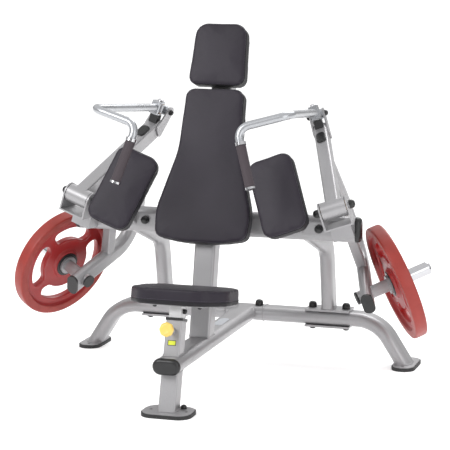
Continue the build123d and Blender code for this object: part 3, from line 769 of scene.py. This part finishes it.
WELDS = [
    ("front_post", (0, 0, 0.0162), (0, 0, 1)), ("front_post", (0, 0, 0.1488), (0, 0, 1)),
    ("seat_sleeve", (0, 0, 0.2072), (0, 0, 1)), ("column", (0, 0, 0.2072), (0, 0, 1)),
    ("right_leg", (0.0772, 0, 0), (1, 0, 0)), ("left_leg", (-0.0772, 0, 0), (1, 0, 0)),
    ("right_leg", (0, 0, 0.0162), (0, 0, 1)), ("left_leg", (0, 0, 0.0162), (0, 0, 1)),
    ("right_upright", (0, 0, 0.2152), (0, 0, 1)), ("left_upright", (0, 0, 0.2152), (0, 0, 1)),
]


def make_weld(number, node, point, normal):
    """A rippled weld bead round the foot of a tube."""
    line = spaced(cut_line(frame["nodes"][node].data, Vector(point), Vector(normal)), 0.0016)
    radii = [1 + 0.22 * sin(2 * pi * index / 3.0) for index in range(len(line))]
    bead = wire(f"weld_{number:02d}", line, sizes().weld_radius, closed=True, radii=radii)
    bead.data.resolution_u = 1
    settled(bead, "frame", "frame_coat", "frame_coat")


def flat_badge(name, width, height, corner, thickness):
    """A thin blank plate with round corners, face up at the origin."""
    work = bmesh.new()
    outline = []
    for x, y, start in ((1, 1, 0), (-1, 1, 90), (-1, -1, 180), (1, -1, 270)):
        for step in range(5):
            turn = radians(start + 22.5 * step)
            outline.append((x * (width / 2 - corner) + corner * cos(turn),
                            y * (height / 2 - corner) + corner * sin(turn)))
    face = work.faces.new([work.verts.new((x, y, 0)) for x, y in outline])
    grown = bmesh.ops.extrude_face_region(work, geom=[face])
    tops = [g for g in grown["geom"] if isinstance(g, bmesh.types.BMVert)]
    bmesh.ops.translate(work, verts=tops, vec=(0, 0, thickness))
    bmesh.ops.recalc_face_normals(work, faces=work.faces)
    obj = new_piece(name, work, smooth=False)
    edge = obj.modifiers.new("Edge", "BEVEL")
    edge.width, edge.segments, edge.limit_method = thickness * 0.4, 2, "ANGLE"
    return obj


# ---------------------------------------------------------------- operators
class PRESS_OT_finishes(bpy.types.Operator):
    """Gives every CAD node the finish of its record slot"""
    bl_idname = "press.finishes"
    bl_label = "Coat the frame"

    def execute(self, context):
        made = finishes()
        for part in frame["record"]["subparts"]:
            obj = frame["nodes"][part["node"]]
            obj.data.materials.clear()
            obj.data.materials.append(made[part["material_slot"]])
        return {"FINISHED"}


class PRESS_OT_pads(bpy.types.Operator):
    """Makes the seat, back, head and arm pads from swollen covers"""
    bl_idname = "press.pads"
    bl_label = "Upholster the pads"

    def execute(self, context):
        for name, (node, body, face) in PADS.items():
            make_pad(name, node, body, face)
        return {"FINISHED"}


class PRESS_OT_plates(bpy.types.Operator):
    """Makes the two weight plates and their hub rings"""
    bl_idname = "press.plates"
    bl_label = "Cast the plates"

    def execute(self, context):
        for side_name, side in SIDES.items():
            make_plate(side_name, side)
        return {"FINISHED"}


class PRESS_OT_clips(bpy.types.Operator):
    """Winds the two spring clips"""
    bl_idname = "press.clips"
    bl_label = "Wind the clips"

    def execute(self, context):
        for side_name, side in SIDES.items():
            make_clip(side_name, side)
        return {"FINISHED"}


class PRESS_OT_grips(bpy.types.Operator):
    """Makes the two foam grips"""
    bl_idname = "press.grips"
    bl_label = "Fit the grips"

    def execute(self, context):
        for side_name, side in SIDES.items():
            make_grip(side_name, side)
        return {"FINISHED"}


class PRESS_OT_knob(bpy.types.Operator):
    """Makes the seat pin's lobed knob"""
    bl_idname = "press.knob"
    bl_label = "Fit the knob"

    def execute(self, context):
        make_knob()
        return {"FINISHED"}


class PRESS_OT_washers(bpy.types.Operator):
    """Turns the thrust washers of the swing barrels"""
    bl_idname = "press.washers"
    bl_label = "Fit the washers"

    def execute(self, context):
        for side_name, side in SIDES.items():
            make_washers(side_name, side)
        return {"FINISHED"}


class PRESS_OT_welds(bpy.types.Operator):
    """Lays weld beads where the tubes meet their plates"""
    bl_idname = "press.welds"
    bl_label = "Weld the frame"

    def execute(self, context):
        for number, (node, point, normal) in enumerate(WELDS):
            make_weld(number, node, point, normal)
        return {"FINISHED"}


class PRESS_OT_badges(bpy.types.Operator):
    """Adds the blank spine badge and the blank sleeve label"""
    bl_idname = "press.badges"
    bl_label = "Fit the badges"

    def execute(self, context):
        badge = flat_badge("spine_badge", 0.036, 0.120, 0.0178, 0.0014)
        placed(badge, Matrix.Translation((0.0, BADGE_Y, SPINE_TOP)))
        settled(badge, "frame", "badge", "bare_steel")
        place = Matrix((Vector((1, 0, 0)), POST_UP, POST_OUT)).transposed().to_4x4()
        for name, finish, slot_name, width, height, lift in (
                ("sleeve_label_border", "black_plastic", "black_plastic", 0.031, 0.019, 0.0310),
                ("sleeve_label", "label", "yellow_plastic", 0.027, 0.015, 0.0314)):
            label = flat_badge(name, width, height, 0.002, 0.0006)
            place.translation = POST_UP * 0.253 + POST_OUT * lift
            placed(label, place)
            settled(label, "frame", finish, slot_name)
        return {"FINISHED"}


def area_light(name, at, aim, size, power, tint=(1, 1, 1)):
    light = bpy.data.lights.new(name, "AREA")
    light.shape, light.size, light.energy, light.color = "SQUARE", size, power, tint
    obj = bpy.data.objects.new(name, light)
    obj.location = at
    obj.rotation_euler = (Vector(aim) - Vector(at)).to_track_quat("-Z", "Y").to_euler()
    bpy.context.scene.collection.objects.link(obj)


class PRESS_OT_stage(bpy.types.Operator):
    """Adds the pale floor, the soft lights and the camera"""
    bl_idname = "press.stage"
    bl_label = "Set the stage"

    def execute(self, context):
        work = bmesh.new()
        bmesh.ops.create_grid(work, x_segments=8, y_segments=8, size=30)
        floor = new_piece("studio_floor", work)
        material, tree, shader = start_material(
            "Studio floor", colours().floor, roughness=0.7, Specular_IOR_Level=0.2,
            Emission_Color=(1, 1, 1, 1), Emission_Strength=0.34)
        floor.data.materials.append(material)
        world = bpy.data.worlds.new("Studio")
        world.use_nodes = True
        sky = world.node_tree.nodes["Background"]
        sky.inputs["Color"].default_value = (1, 1, 1, 1)
        direction = world.node_tree.nodes.new("ShaderNodeTexCoord").outputs["Generated"]
        split = world.node_tree.nodes.new("ShaderNodeSeparateXYZ")
        world.node_tree.links.new(direction, split.inputs["Vector"])
        world.node_tree.links.new(
            between(world.node_tree, split.outputs["Z"], 0.30, 0.95, 0.02, 0.55),
            sky.inputs["Strength"])
        context.scene.view_settings.view_transform = "Standard"
        context.scene.world = world
        centre = (0, 0.5, 0.6)
        area_light("key", (-2.6, -3.4, 3.6), centre, 2.4, 120)
        area_light("fill", (3.6, -2.2, 1.8), centre, 2.6, 40)
        area_light("rim", (0.6, 3.2, 3.4), centre, 2.4, 75)
        camera = bpy.data.cameras.new("Photo view")
        camera.sensor_width, camera.lens = 36.0, 154.94
        camera.clip_end = 100
        viewer = bpy.data.objects.new("Photo view", camera)
        viewer.location = (2.20697, -6.30579, 1.82328)
        viewer.rotation_euler = (radians(90 - 9.685), 0, radians(17.566))
        context.scene.collection.objects.link(viewer)
        context.scene.camera = viewer
        return {"FINISHED"}


STEPS = (PRESS_OT_finishes, PRESS_OT_pads, PRESS_OT_plates, PRESS_OT_clips, PRESS_OT_grips,
         PRESS_OT_knob, PRESS_OT_washers, PRESS_OT_welds, PRESS_OT_badges, PRESS_OT_stage)


class PRESS_PT_machine(bpy.types.Panel):
    """The press machine's pieces, sizes and colours"""
    bl_idname = "PRESS_PT_machine"
    bl_label = "Press machine"
    bl_space_type = "VIEW_3D"
    bl_region_type = "UI"
    bl_category = "Press machine"

    def draw(self, context):
        for step in STEPS:
            self.layout.operator(step.bl_idname)
        for group in (context.scene.press_sizes, context.scene.press_colours):
            box = self.layout.box()
            for name in group.__annotations__:
                box.prop(group, name)


CLASSES = (PressColours, PressSizes, *STEPS, PRESS_PT_machine)


def register():
    for cls in CLASSES:
        bpy.utils.register_class(cls)
    bpy.types.Scene.press_colours = PointerProperty(type=PressColours)
    bpy.types.Scene.press_sizes = PointerProperty(type=PressSizes)


def unregister():
    del bpy.types.Scene.press_sizes
    del bpy.types.Scene.press_colours
    for cls in reversed(CLASSES):
        bpy.utils.unregister_class(cls)


def main():
    register()
    bpy.ops.press.finishes()
    bpy.ops.press.pads()
    bpy.ops.press.plates()
    bpy.ops.press.clips()
    bpy.ops.press.grips()
    bpy.ops.press.knob()
    bpy.ops.press.washers()
    bpy.ops.press.welds()
    bpy.ops.press.badges()
    bpy.ops.press.stage()


if __name__ == "__main__":
    main()
